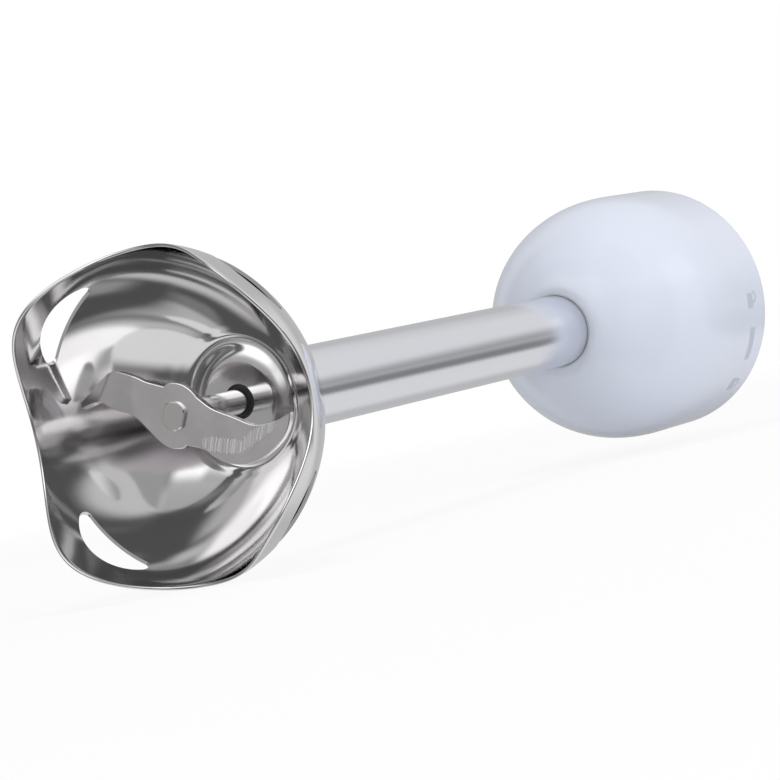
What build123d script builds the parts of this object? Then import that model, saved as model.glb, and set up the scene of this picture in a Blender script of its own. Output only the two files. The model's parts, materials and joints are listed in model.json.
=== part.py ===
from build123d import *
import math
import os

# Detachable blending leg of an immersion blender: steel bell guard, blade, tube and locking bulb.
# All sizes are in millimetres. Each piece is drawn along the leg's own axis, with height 0 at the
# tips of the bell's lobes, and the finished leg is laid on its side along +X.

# Whole leg and fits
leg_length = 236.2
press_gap = 0.05
running_gap = 0.03
loose_gap = 0.3

# Tube and shaft
tube_diameter = 18.0
tube_wall = 1.0
shaft_diameter = 5.6

# Bell guard: flared skirt, short cone and round dome of one sheet, with a soft crease and a wavy rim
bell_wall = 0.8
mouth_diameter = 74.3
skirt_height = 10.0
skirt_flare = 7.9
crease_round = 24.0
cone_height = 2.6
cone_angle = 20.0
dome_height = 26.4
lobe_count = 4
lobe_depth = 9.3
lobe_rounding = 0.3
slot_height = 6.5
slot_arc_radius = 13.3
slot_corner_radius = 1.5
slot_below_crease = 2.4
hub_drop = 3.8
hub_radius = 13.4
hub_edge_slope = 3.8
hub_edge_round = 8.0
hub_foot_round = 3.0
hub_hole_gap = 1.0
neck_wall = 1.1
neck_length = 6.4
neck_fillet = 1.5

# Blade: one flat arm and one arm bent into the bell, outlines in the blade's own plane
blade_depth = 11.4
blade_thickness = 1.5
blade_hub_radius = 6.9
blade_rest_angle = 9.9
flat_arm_inner_edge = [(3.5, 5.6), (6.3, 3.5), (9.5, 1.5), (14.7, -0.2), (19.5, -1.7), (24.5, -0.9),
                       (28.5, 0.9)]
flat_arm_outer_edge = [(28.5, 0.9), (27.9, -1.9), (25.8, -5.1), (21.6, -8.3), (17.3, -9.9), (12.8, -9.8),
                       (9.1, -8.4), (6.5, -6.9), (2.4, -5.9)]
bent_arm_inner_edge = [(-3.5, -5.6), (-5.2, -4.7), (-7.6, -2.5), (-9.9, -0.5), (-12.0, 0.4), (-14.5, 0.8),
                       (-17.5, 1.8), (-19.7, 2.6), (-22.6, 2.4), (-28.4, 1.3)]
bent_arm_outer_edge = [(-29.4, 2.5), (-25.9, 4.2), (-22.7, 5.9), (-19.5, 7.6), (-17.1, 8.8), (-15.4, 9.2),
                       (-13.0, 9.0), (-9.7, 8.2), (-6.8, 7.1), (-2.4, 5.9)]
root_bend_line = [(-9.6, -6.0), (-9.6, 12.0)]
root_bend_angle = 5.0
tip_bend_line = [(-21.6, -0.4), (-14.8, 11.0)]
tip_bend_angle = 30.0

# Peened end of the shaft, with two flats that drive the blade
flat_depth = 0.5
flats_lean = 18.0
rivet_overhang = 0.25
rivet_flat_overhang = 0.3
rivet_height = 0.8
rivet_chamfer = 0.25

# Bearings of the shaft
seal_height = 3.4
seal_width = 3.15
seal_lip_depth = 1.6
seal_lip_wall = 0.7
retainer_thickness = 0.8
bush_wall = 1.7
bush_length = 15.0
bush_flange_width = 1.3
bush_flange_thickness = 1.2
washer_width = 2.4
washer_thickness = 0.8
circlip_thickness = 0.8
circlip_width = 1.5
circlip_opening = 60.0
shaft_groove_depth = 0.45
guide_length = 8.0
guide_waist_depth = 2.0
guide_rim = 1.8
holder_flange_thickness = 2.0

# Locking bulb: round front that runs out smoothly into a straight rim
shell_length = 57.8
shell_radius = 31.8
shell_wall = 2.4
front_lip_width = 1.6
shoulder_length = 39.2
front_power = 1.42
rim_power = 2.5
rim_edge_round = 0.8
sleeve_wall = 3.45
sleeve_length = 16.0
seal_ring_section = 0.7
seal_ring_pocket = 0.9
tube_clip_thickness = 1.2
tube_clip_width = 2.4
tube_groove_depth = 0.5
tube_lip = 2.4

# Socket for the motor handle
insert_wall = 3.35
socket_floor_thickness = 3.6
socket_rim_drop = 0.6
well_gap = 2.0
well_wall = 1.7
well_floor_thickness = 1.4
well_hole_gap = 2.2
lug_count = 2
lug_width = 6.0
lug_height = 5.0
lug_depth = 1.5
lug_drop = 5.0
lug_turn = 24.0
gasket_inset = 2.0
gasket_width = 2.0
gasket_height = 1.5
screw_count = 3
screw_diameter = 2.9
screw_length = 11.0
screw_head_diameter = 5.5
screw_head_height = 2.0
screw_cross_width = 0.7
screw_cross_depth = 1.0
screw_post_wall = 1.6

# Drive dog on top of the shaft
coupling_radius = 7.5
coupling_length = 13.0
coupling_recess = 1.5
hexagon_across_flats = 8.0
hexagon_depth = 6.0
coupling_chamfer = 0.6
pin_diameter = 2.0
pin_height = 3.5

# Radii that follow from the sizes above
tube_radius = tube_diameter / 2
tube_bore = tube_radius - tube_wall
shaft_radius = shaft_diameter / 2
hub_hole_radius = shaft_radius + hub_hole_gap
flats_width = shaft_diameter - 2 * flat_depth
rivet_radius = shaft_radius + rivet_overhang
rivet_flats = flats_width + 2 * rivet_flat_overhang
seal_bore = shaft_radius + press_gap
seal_outer_radius = seal_bore + seal_width
bush_bore = shaft_radius + running_gap
bush_radius = bush_bore + bush_wall
bush_flange_radius = bush_radius + bush_flange_width
washer_bore = shaft_radius + running_gap
mouth_radius = mouth_diameter / 2
plug_radius = tube_bore - press_gap
neck_bore = tube_radius + press_gap
neck_radius = neck_bore + neck_wall
shell_front_radius = tube_radius + front_lip_width
sleeve_bore = tube_radius + press_gap
sleeve_radius = sleeve_bore + sleeve_wall
seal_ring_radius = seal_ring_section / 2
seal_ring_centre = sleeve_bore + seal_ring_radius
insert_radius = shell_radius - shell_wall - press_gap
socket_radius = insert_radius - insert_wall
gasket_radius = socket_radius - gasket_inset
gasket_bore = gasket_radius - gasket_width
well_radius = coupling_radius + well_gap
well_outer_radius = well_radius + well_wall
well_hole_radius = shaft_radius + well_hole_gap
screw_radius = screw_diameter / 2
screw_head_radius = screw_head_diameter / 2
screw_circle_radius = (well_outer_radius + gasket_bore) / 2
post_radius = screw_radius + press_gap + screw_post_wall

# Heights along the axis, from the mouth up to the rim of the bulb
blade_back = blade_depth + blade_thickness
cone_start = skirt_height
dome_start = cone_start + cone_height
dome_top = dome_start + dome_height
hub_front = dome_top - hub_drop
hub_back = hub_front + bell_wall
seal_bottom = hub_back
retainer_bottom = seal_bottom + seal_height
lower_bush_bottom = retainer_bottom + retainer_thickness + press_gap
lower_flange_bottom = lower_bush_bottom + bush_length
lower_flange_top = lower_flange_bottom + bush_flange_thickness
lower_washer_bottom = lower_flange_top + loose_gap
lower_circlip_bottom = lower_washer_bottom + washer_thickness + press_gap
shell_front = leg_length - shell_length
sleeve_top = shell_front + sleeve_length
tube_clip_bottom = sleeve_top
tube_clip_top = tube_clip_bottom + tube_clip_thickness
tube_top = tube_clip_top + tube_lip
holder_top = tube_top + holder_flange_thickness
upper_bush_top = tube_top
upper_flange_top = upper_bush_top - bush_length
upper_flange_bottom = upper_flange_top - bush_flange_thickness
upper_washer_top = upper_flange_bottom - loose_gap
upper_circlip_top = upper_washer_top - washer_thickness - press_gap
well_bottom = holder_top
well_floor = well_bottom + well_floor_thickness
coupling_bottom = well_floor + 2 * loose_gap
coupling_top = coupling_bottom + coupling_length
hexagon_bottom = coupling_top - hexagon_depth
shaft_top = hexagon_bottom - loose_gap
socket_floor = coupling_top + coupling_recess
socket_underside = socket_floor - socket_floor_thickness
insert_top = leg_length - socket_rim_drop
guide_middle = (lower_circlip_bottom + upper_circlip_top) / 2


def rod(radius, bottom, top):
    return Pos(0, 0, bottom) * extrude(Circle(radius), top - bottom)


def ring(bore, radius, bottom, top):
    return Pos(0, 0, bottom) * extrude(Circle(radius) - Circle(bore), top - bottom)


def spin(outline):
    # Turns a flat outline, drawn as (radius, height), about the leg's axis.
    return revolve(Plane.XZ * outline, Axis.Z)


def around(count, solid, start=0.0):
    return [Rot(0, 0, start + 360.0 * step / count) * solid for step in range(count)]


def sector(first_angle, last_angle, radius, bottom, top):
    # Wedge between two angles, used to cut part of a ring.
    reach = 2 * radius
    first = (reach * math.cos(math.radians(first_angle)), reach * math.sin(math.radians(first_angle)))
    last = (reach * math.cos(math.radians(last_angle)), reach * math.sin(math.radians(last_angle)))
    return Pos(0, 0, bottom) * extrude(make_face(Polyline((0, 0), first, last, close=True)), top - bottom)


def double_d(radius, width):
    # Round section with two flats.
    return Circle(radius) & Rectangle(4 * radius, width)


def radial_plane(distance):
    # Upright plane that faces outwards, with its first axis sideways and its second along the leg.
    return Plane(origin=(distance, 0, 0), x_dir=(0, 1, 0), z_dir=(1, 0, 0))


def near(shape, point):
    # Corners of a flat outline that lie at a point.
    tolerance = 1e-4
    place = Vector(point[0], point[1])
    return [corner for corner in shape.vertices() if (corner.center() - place).length < tolerance]


def rim_height(angle):
    # Height of the wavy rim, at an angle in degrees from the middle of a scallop.
    wave = math.radians(lobe_count * angle)
    return lobe_depth / 2 * (1 + math.cos(wave)) + lobe_rounding * (1 - math.cos(2 * wave))


def bell_sheet():
    flare = math.radians(skirt_flare)
    slope = math.radians(cone_angle)
    skirt_inward = (-math.cos(flare), -math.sin(flare))
    cone_inward = (-math.cos(slope), -math.sin(slope))
    share = bell_wall / (1 + skirt_inward[0] * cone_inward[0] + skirt_inward[1] * cone_inward[1])
    crease = (mouth_radius - skirt_height * math.tan(flare), cone_start)
    crease_inside = (crease[0] + share * (skirt_inward[0] + cone_inward[0]),
                     crease[1] + share * (skirt_inward[1] + cone_inward[1]))
    shoulder = (crease[0] - cone_height * math.tan(slope), dome_start)
    dome_end = (neck_radius, dome_top)
    # The dome leaves the cone without a kink and ends at the root of the neck.
    run = (dome_end[0] - shoulder[0], dome_end[1] - shoulder[1])
    dome_radius = (run[0] ** 2 + run[1] ** 2) / (2 * (run[0] * cone_inward[0] + run[1] * cone_inward[1]))
    centre = (shoulder[0] + dome_radius * cone_inward[0], shoulder[1] + dome_radius * cone_inward[1])
    inner_radius = dome_radius - bell_wall
    end_angle = math.atan2(dome_end[1] - centre[1], dome_end[0] - centre[0])
    hub_angle = math.acos((hub_radius - centre[0]) / inner_radius)

    def on_dome(radius, angle):
        return (centre[0] + radius * math.cos(angle), centre[1] + radius * math.sin(angle))

    shoulder_inside = on_dome(inner_radius, slope)
    hub_foot = on_dome(inner_radius, hub_angle)
    hub_edge = (hub_radius - hub_edge_slope, hub_front)
    mouth_inside = (mouth_radius - bell_wall / math.cos(flare), 0)
    neck_top = dome_top + neck_length
    outline = make_face([
        Polyline((mouth_radius, 0), crease, shoulder),
        ThreePointArc(shoulder, on_dome(dome_radius, (slope + end_angle) / 2), dome_end),
        Polyline(dome_end, (neck_radius, neck_top), (neck_bore, neck_top), (neck_bore, hub_back),
                 (hub_hole_radius, hub_back), (hub_hole_radius, hub_front), hub_edge, hub_foot),
        ThreePointArc(hub_foot, on_dome(inner_radius, (slope + hub_angle) / 2), shoulder_inside),
        Polyline(shoulder_inside, crease_inside, mouth_inside, (mouth_radius, 0)),
    ])
    outline = fillet(near(outline, crease), crease_round)
    outline = fillet(near(outline, crease_inside), crease_round - bell_wall)
    outline = fillet(near(outline, dome_end), neck_fillet)
    outline = fillet(near(outline, hub_edge), hub_edge_round)
    outline = fillet(near(outline, hub_foot), hub_foot_round)
    return spin(outline)


def scallop_cutter():
    half_turn = 180.0 / lobe_count
    steps = 10
    angles = [half_turn * (2 * step / steps - 1) for step in range(steps + 1)]
    rim = [(mouth_radius * math.sin(math.radians(angle)), rim_height(angle)) for angle in angles]
    below = -lobe_depth
    outline = make_face([
        Spline(*rim, tangents=[(1, 0), (1, 0)]),
        Polyline(rim[-1], (rim[-1][0], below), (rim[0][0], below), rim[0]),
    ])
    return extrude(radial_plane(mouth_radius / 2) * outline, mouth_radius)


def slot_cutter():
    bottom = skirt_height - slot_below_crease
    top = bottom + slot_height
    middle = bottom + slot_arc_radius
    half_chord = math.sqrt(slot_arc_radius ** 2 - (middle - top) ** 2)
    outline = make_face([
        ThreePointArc((-half_chord, top), (0, bottom), (half_chord, top)),
        Line((half_chord, top), (-half_chord, top)),
    ])
    outline = fillet(outline.vertices(), slot_corner_radius)
    return extrude(radial_plane(mouth_radius / 2) * outline, mouth_radius)


def make_bell_guard():
    cutters = around(lobe_count, scallop_cutter())
    cutters += around(lobe_count, slot_cutter(), 180.0 / lobe_count)
    return bell_sheet() - cutters


def bend(plate, line, angle, side):
    # Folds the part of the plate beyond a line away from the mouth, with a round bend.
    middle = -blade_thickness / 2
    start = Vector(line[0][0], line[0][1], middle)
    along = Vector(line[1][0], line[1][1], middle) - start
    cut = Plane(origin=start, x_dir=along, z_dir=along.cross(Vector(0, 0, 1)))
    kept = split(plate, bisect_by=cut, keep=Keep.TOP)
    folded = split(plate, bisect_by=cut, keep=Keep.BOTTOM).rotate(Axis(start, along), -angle)
    roll = Plane(origin=start, z_dir=along) * extrude(Circle(blade_thickness / 2), along.length)
    return kept + folded + (roll & side)


def make_blade():
    hub = Circle(blade_hub_radius)
    flat_arm = make_face([
        Spline(*flat_arm_inner_edge),
        Spline(*flat_arm_outer_edge),
        Line(flat_arm_outer_edge[-1], flat_arm_inner_edge[0]),
    ])
    bent_arm = make_face([
        Spline(*bent_arm_inner_edge),
        Line(bent_arm_inner_edge[-1], bent_arm_outer_edge[0]),
        Spline(*bent_arm_outer_edge),
        Line(bent_arm_outer_edge[-1], bent_arm_inner_edge[0]),
    ])
    hole = Rot(0, 0, 90 - flats_lean) * double_d(shaft_radius + running_gap, flats_width + 2 * running_gap)
    flat_plate = extrude(hub + flat_arm - hole, -blade_thickness)
    bent_plate = extrude(bent_arm - hub, -blade_thickness)
    slab = Pos(0, 0, blade_thickness) * extrude(bent_arm, -3 * blade_thickness)
    bent_plate = bend(bent_plate, tip_bend_line, tip_bend_angle, slab)
    bent_plate = bend(bent_plate, root_bend_line, root_bend_angle, slab)
    facing_mouth = Plane(origin=(0, 0, blade_depth), x_dir=(0, 1, 0), z_dir=(0, 0, -1))
    return Rot(0, 0, blade_rest_angle) * facing_mouth.location * (flat_plate + bent_plate)


def make_drive_shaft():
    rivet = extrude(double_d(rivet_radius, rivet_flats), rivet_height)
    rivet = chamfer(rivet.faces().sort_by(Axis.Z)[0].edges(), rivet_chamfer)
    tang = extrude(double_d(shaft_radius, flats_width), blade_thickness)
    end = Pos(0, 0, blade_depth - rivet_height) * rivet + Pos(0, 0, blade_depth) * tang
    shaft = rod(shaft_radius, blade_back, shaft_top) + Rot(0, 0, blade_rest_angle + flats_lean) * end
    groove_bore = shaft_radius - shaft_groove_depth
    groove_width = circlip_thickness + 2 * press_gap
    for clip_bottom in (lower_circlip_bottom, upper_circlip_top - circlip_thickness):
        bottom = clip_bottom - press_gap
        shaft -= ring(groove_bore, 2 * shaft_radius, bottom, bottom + groove_width)
    return shaft - cross_rod(pin_diameter / 2 + press_gap, 4 * shaft_radius)


def cross_rod(radius, length):
    # Rod across the shaft, at the height of the coupling's pin.
    upright = extrude(Circle(radius), length / 2, both=True)
    return Pos(0, 0, coupling_bottom + pin_height) * Rot(0, 90, 0) * upright


def make_shaft_seal():
    bore = seal_bore
    outer = seal_outer_radius
    lip = bore + seal_lip_wall
    top = retainer_bottom
    outline = make_face(Polyline(
        (bore, seal_bottom), (outer, seal_bottom), (outer, top), (outer - seal_lip_wall, top),
        (lip + seal_lip_wall, top - seal_lip_depth), (lip, top), (bore, top), close=True))
    return spin(outline)


def make_seal_retainer():
    top = retainer_bottom + retainer_thickness
    return ring(shaft_radius + loose_gap, seal_outer_radius, retainer_bottom, top)


def make_lower_bearing_holder():
    holder = rod(plug_radius, hub_back, lower_flange_bottom)
    holder -= rod(seal_outer_radius + press_gap, hub_back, lower_bush_bottom)
    return holder - rod(bush_radius + press_gap, lower_bush_bottom, lower_flange_bottom)


def make_lower_bush():
    sleeve = ring(bush_bore, bush_radius, lower_bush_bottom, lower_flange_bottom)
    return sleeve + ring(bush_bore, bush_flange_radius, lower_flange_bottom, lower_flange_top)


def make_thrust_washer(bottom):
    return ring(washer_bore, washer_bore + washer_width, bottom, bottom + washer_thickness)


def make_circlip(bottom):
    bore = shaft_radius - shaft_groove_depth + press_gap
    top = bottom + circlip_thickness
    half_opening = circlip_opening / 2
    clip = ring(bore, bore + circlip_width, bottom, top)
    return clip - sector(-half_opening, half_opening, bore + circlip_width, bottom, top)


def make_shaft_guide():
    bottom = guide_middle - guide_length / 2
    top = guide_middle + guide_length / 2
    spool = ring(shaft_radius + loose_gap, plug_radius, bottom, top)
    return spool - ring(plug_radius - guide_waist_depth, 2 * plug_radius, bottom + guide_rim, top - guide_rim)


def make_upper_bearing_holder():
    plug = rod(plug_radius, upper_flange_top, tube_top) + rod(tube_radius, tube_top, holder_top)
    plug -= rod(bush_radius + press_gap, upper_flange_top, upper_bush_top)
    return plug - rod(shaft_radius + loose_gap, upper_bush_top, holder_top)


def make_upper_bush():
    sleeve = ring(bush_bore, bush_radius, upper_flange_top, upper_bush_top)
    return sleeve + ring(bush_bore, bush_flange_radius, upper_flange_bottom, upper_flange_top)


def make_shaft_tube():
    tube = ring(tube_bore, tube_radius, hub_back, tube_top)
    groove_bore = tube_radius - tube_groove_depth
    return tube - ring(groove_bore, 2 * tube_radius, tube_clip_bottom - press_gap, tube_clip_top + press_gap)


def make_tube_clip():
    bore = tube_radius - tube_groove_depth + press_gap
    clip = ring(bore, bore + tube_clip_width, tube_clip_bottom, tube_clip_top)
    half_opening = circlip_opening / 2
    return clip - sector(-half_opening, half_opening, bore + tube_clip_width, tube_clip_bottom, tube_clip_top)


def make_tube_seal_ring():
    return spin(Pos(seal_ring_centre, shell_front + seal_ring_radius) * Circle(seal_ring_radius))


def shoulder_curve(inset):
    # Rounded front of the bulb as (radius, height) points, and the same curve one wall further in.
    start_radius = shell_front_radius if inset == 0 else tube_radius
    growth = shell_radius - inset - start_radius
    length = shoulder_length - inset
    steps = 10
    points = []
    for step in range(steps + 1):
        share = 1 - math.cos(math.radians(90.0 * step / steps))
        reach = (1 - (1 - share) ** rim_power) ** (1 / front_power)
        points.append((start_radius + growth * reach, shell_front + inset + length * share))
    return points


def bulb_solid(inset, top):
    curve = shoulder_curve(inset)
    steepness = (curve[1][0] - curve[0][0], curve[1][1] - curve[0][1])
    outline = make_face([
        Spline(*curve, tangents=[steepness, (0, 1)]),
        Polyline(curve[-1], (curve[-1][0], top), (0, top), (0, curve[0][1]), curve[0]),
    ])
    if inset == 0:
        outline = fillet(near(outline, (curve[-1][0], top)), rim_edge_round)
    return spin(outline)


def screw_places():
    angles = [360.0 * (step + 0.5) / screw_count for step in range(screw_count)]
    return [Rot(0, 0, angle) * Pos(screw_circle_radius, 0, 0) for angle in angles]


def make_coupling_shell():
    outside = bulb_solid(0, leg_length)
    inside = bulb_solid(shell_wall, leg_length)
    sleeve = rod(sleeve_radius, shell_front, sleeve_top)
    posts = [place * rod(post_radius, shell_front, socket_underside) for place in screw_places()]
    shell = outside - inside + (outside & (sleeve + posts))
    shell -= rod(sleeve_bore, shell_front, sleeve_top)
    shell -= rod(seal_ring_centre + seal_ring_radius + press_gap, shell_front, shell_front + seal_ring_pocket)
    screw_hole = rod(screw_radius + press_gap, socket_underside - screw_length, socket_underside)
    return shell - [place * screw_hole for place in screw_places()]


def bayonet_groove():
    # Way in from the rim, then a turn to one side.
    half_width = math.degrees(lug_width / 2 / socket_radius)
    groove_radius = socket_radius + lug_depth
    turn_top = insert_top - lug_drop
    turn_bottom = turn_top - lug_height
    way_in = sector(-half_width, half_width, groove_radius, turn_bottom, insert_top)
    turn = sector(-half_width, half_width + lug_turn, groove_radius, turn_bottom, turn_top)
    return (way_in + turn) & ring(socket_radius / 2, groove_radius, turn_bottom, insert_top)


def make_socket_insert():
    insert = ring(socket_radius, insert_radius, socket_underside, insert_top)
    insert += ring(well_radius, insert_radius, socket_underside, socket_floor)
    insert += ring(well_radius, well_outer_radius, well_bottom, socket_floor)
    insert += ring(well_hole_radius, well_outer_radius, well_bottom, well_floor)
    insert -= around(lug_count, bayonet_groove())
    insert -= ring(gasket_bore - press_gap, gasket_radius + press_gap,
                   socket_floor - gasket_height, socket_floor)
    head_seat = socket_floor - screw_head_height - loose_gap
    for place in screw_places():
        insert -= place * rod(screw_radius + press_gap, socket_underside, socket_floor)
        insert -= place * rod(screw_head_radius + press_gap, head_seat, socket_floor)
    return insert


def make_socket_gasket():
    return ring(gasket_bore, gasket_radius, socket_floor - gasket_height, socket_floor)


def make_socket_screw():
    head_seat = socket_floor - screw_head_height - loose_gap
    head_top = head_seat + screw_head_height
    screw = rod(screw_radius, socket_underside - screw_length + loose_gap, head_seat)
    screw += rod(screw_head_radius, head_seat, head_top)
    slot = Rectangle(1.3 * screw_head_radius, screw_cross_width)
    cross = slot + Rot(0, 0, 90) * slot
    return screw - Pos(0, 0, head_top) * extrude(cross, -screw_cross_depth)


def make_drive_coupling():
    dog = rod(coupling_radius, coupling_bottom, coupling_top)
    dog = chamfer(dog.edges(), coupling_chamfer)
    dog -= rod(shaft_radius + running_gap, coupling_bottom, hexagon_bottom)
    hexagon = RegularPolygon(hexagon_across_flats / 2, 6, major_radius=False)
    dog -= Pos(0, 0, hexagon_bottom) * extrude(hexagon, hexagon_depth)
    return dog - cross_rod(pin_diameter / 2 + press_gap, 4 * coupling_radius)


def make_coupling_pin():
    return cross_rod(pin_diameter / 2, 2 * coupling_radius - 2 * coupling_chamfer)


bell_guard = make_bell_guard()
pieces = {
    "bell_guard": bell_guard,
    "shaft_tube": make_shaft_tube(),
    "coupling_shell": make_coupling_shell(),
    "socket_insert": make_socket_insert(),
    "socket_gasket": make_socket_gasket(),
    "tube_seal_ring": make_tube_seal_ring(),
    "tube_clip": make_tube_clip(),
    "shaft_seal": make_shaft_seal(),
    "seal_retainer": make_seal_retainer(),
    "lower_bearing_holder": make_lower_bearing_holder(),
    "lower_bush": make_lower_bush(),
    "shaft_guide": make_shaft_guide(),
    "upper_bearing_holder": make_upper_bearing_holder(),
    "upper_bush": make_upper_bush(),
    "drive_shaft": make_drive_shaft(),
    "blade": make_blade(),
    "lower_thrust_washer": make_thrust_washer(lower_washer_bottom),
    "lower_circlip": make_circlip(lower_circlip_bottom),
    "upper_thrust_washer": make_thrust_washer(upper_washer_top - washer_thickness),
    "upper_circlip": make_circlip(upper_circlip_top - circlip_thickness),
    "drive_coupling": make_drive_coupling(),
    "coupling_pin": make_coupling_pin(),
}
for number, place in enumerate(screw_places(), start=1):
    pieces[f"socket_screw_{number}"] = place * make_socket_screw()

# The leg lies on the lowest scallop of its bell, with the middle of its length over the origin.
axis_height = -bell_guard.bounding_box().min.X
lying = Plane(origin=(-leg_length / 2, 0, axis_height), x_dir=(0, 0, 1), z_dir=(1, 0, 0))
os.makedirs("parts", exist_ok=True)
for name, piece in pieces.items():
    export_step(lying.location * piece, f"parts/{name}.step")
print("axis height", round(axis_height, 3), "socket floor", round(socket_floor, 3), "pieces", len(pieces))
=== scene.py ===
import json
import math
import bmesh
import bpy
from mathutils import Matrix, Quaternion, Vector


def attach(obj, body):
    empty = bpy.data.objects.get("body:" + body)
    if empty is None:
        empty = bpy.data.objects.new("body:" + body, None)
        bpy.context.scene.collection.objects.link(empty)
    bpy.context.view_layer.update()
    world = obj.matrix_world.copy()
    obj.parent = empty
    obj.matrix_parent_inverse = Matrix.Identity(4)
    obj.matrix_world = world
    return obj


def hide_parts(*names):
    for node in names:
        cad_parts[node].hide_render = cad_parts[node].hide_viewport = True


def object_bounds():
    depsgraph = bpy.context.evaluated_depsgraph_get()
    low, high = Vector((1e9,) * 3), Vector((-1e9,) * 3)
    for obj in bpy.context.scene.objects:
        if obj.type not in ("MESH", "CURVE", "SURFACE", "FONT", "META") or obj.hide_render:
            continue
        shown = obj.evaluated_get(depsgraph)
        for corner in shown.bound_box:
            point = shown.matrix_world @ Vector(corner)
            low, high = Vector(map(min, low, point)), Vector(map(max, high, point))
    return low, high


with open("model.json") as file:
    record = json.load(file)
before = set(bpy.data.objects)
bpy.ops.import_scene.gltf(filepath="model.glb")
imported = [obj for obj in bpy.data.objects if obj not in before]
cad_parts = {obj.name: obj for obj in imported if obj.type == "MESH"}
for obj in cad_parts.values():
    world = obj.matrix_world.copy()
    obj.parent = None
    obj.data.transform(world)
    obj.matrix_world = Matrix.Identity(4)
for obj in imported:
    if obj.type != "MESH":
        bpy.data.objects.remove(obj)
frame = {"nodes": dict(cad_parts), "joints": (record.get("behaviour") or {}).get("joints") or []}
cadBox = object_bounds()
nodes = frame["nodes"]
mm = 0.001
spin = frame["joints"][0]
axisY, axisZ = spin["pos_m"][1], spin["pos_m"][2]  # the leg's axis runs along +X through this point
mouthX = cadBox[0].x  # tips of the bell's lobes
print("frame loaded with", len(nodes), "nodes")


class Value:  # a socket that takes part in arithmetic
    def __init__(self, tree, socket):
        self.tree = tree
        self.socket = socket

    def out(self, name):
        return Value(self.tree, self.socket.node.outputs[name])

    def calc(self, operation, *others):
        return self.tree.add("ShaderNodeMath", {"operation": operation}, [self, *others])

    def __add__(self, other):
        return self.calc("ADD", other)

    def __sub__(self, other):
        return self.calc("SUBTRACT", other)

    def __mul__(self, other):
        return self.calc("MULTIPLY", other)

    def __truediv__(self, other):
        return self.calc("DIVIDE", other)

    def __rsub__(self, other):
        return self.tree.add("ShaderNodeMath", {"operation": "SUBTRACT"}, [other, self])

    __radd__ = __add__
    __rmul__ = __mul__


softDetail, someDetail, fineDetail = 1.0, 2.0, 3.0  # octaves of a noise


def rgba(colour):  # a colour link passes through
    return colour if isinstance(colour, Value) else (*colour, 1.0)


class Tree:  # nodes of one material or of the world
    def __init__(self, owner):
        owner.use_nodes = True
        self.nodes = owner.node_tree.nodes
        self.links = owner.node_tree.links
        self.nodes.clear()

    def add(self, kind, settings=None, inputs=(), output=0):
        node = self.nodes.new(kind)
        for name, value in (settings or {}).items():
            setattr(node, name, value)
        pairs = inputs.items() if isinstance(inputs, dict) else enumerate(inputs)
        for key, value in pairs:
            if isinstance(value, Value):
                self.links.new(value.socket, node.inputs[key])
            else:
                node.inputs[key].default_value = value
        return Value(self, node.outputs[output]) if len(node.outputs) else node

    def step(self, value, low, high):  # smooth rise from 0 at low to 1 at high
        settings = {"interpolation_type": "SMOOTHSTEP"}
        return self.add("ShaderNodeMapRange", settings, {"Value": value, "From Min": low, "From Max": high})

    def noise(self, place, scale, detail):
        return self.add("ShaderNodeTexNoise", None, {"Vector": place, "Scale": scale, "Detail": detail})

    def lineNoise(self, place, scale, detail):  # noise that changes in one direction only
        settings = {"noise_dimensions": "1D"}
        return self.add("ShaderNodeTexNoise", settings, {"W": place, "Scale": scale, "Detail": detail})

    def mixColour(self, share, first, second):  # a Mix node's colours are inputs 6 and 7 and output 2
        inputs = {0: share, 6: rgba(first), 7: rgba(second)}
        return self.add("ShaderNodeMix", {"data_type": "RGBA"}, inputs, 2)

    def bump(self, height, strength, distance, under=None):  # under is a bump that this one lies on
        inputs = {"Strength": strength, "Distance": distance, "Height": height}
        if under:
            inputs["Normal"] = under
        return self.add("ShaderNodeBump", None, inputs)


def newFinish(name, constants):
    material = bpy.data.materials.new(name)
    tree = Tree(material)
    shader = tree.add("ShaderNodeBsdfPrincipled", None, constants)
    tree.add("ShaderNodeOutputMaterial", None, {"Surface": shader})
    return material, tree, shader.socket.node


def feed(tree, shader, name, value):
    tree.links.new(value.socket, shader.inputs[name])


def objectPlace(tree):
    return tree.add("ShaderNodeTexCoord", output="Object")


def legPlace(tree):  # object coordinates, then place along, beside and above the axis, and distance from it
    place = objectPlace(tree)
    along = tree.add("ShaderNodeSeparateXYZ", None, [place])
    side = along.out("Y") - axisY
    lift = along.out("Z") - axisZ
    radius = (side * side + lift * lift).calc("SQRT")
    return place, along, side, lift, radius


def dress(names, material):
    for name in names:
        for slot in nodes[name].material_slots:
            slot.material = material


def legPoint(radius, turn, height):  # from the leg's own measures in mm: turn 0 is up, height 0 the mouth
    return Vector((mouthX + height * mm, axisY + radius * mm * math.sin(turn),
                   axisZ + radius * mm * math.cos(turn)))


def addPiece(name, build, material, body, replaced):
    mesh = bpy.data.meshes.new(name)
    bmesh.ops.recalc_face_normals(build, faces=build.faces)
    build.to_mesh(mesh)
    build.free()
    piece = bpy.data.objects.new(name, mesh)
    bpy.context.scene.collection.objects.link(piece)
    mesh.materials.append(material)
    mesh.shade_smooth()
    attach(piece, body)
    if replaced:
        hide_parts(*replaced)
    return piece


def roundCorner(before, corner, after, radius, steps):  # arc that replaces a corner of an outline
    before, corner, after = Vector(before), Vector(corner), Vector(after)
    back = (before - corner).normalized()
    ahead = (after - corner).normalized()
    half = back.angle(ahead) / 2
    reach = radius / math.tan(half)
    middle = corner + (back + ahead).normalized() * (radius / math.sin(half))
    first = corner + back * reach - middle
    sweep = first.angle_signed(corner + ahead * reach - middle)
    return [middle + Matrix.Rotation(-sweep * i / steps, 2) @ first for i in range(steps + 1)]


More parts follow.
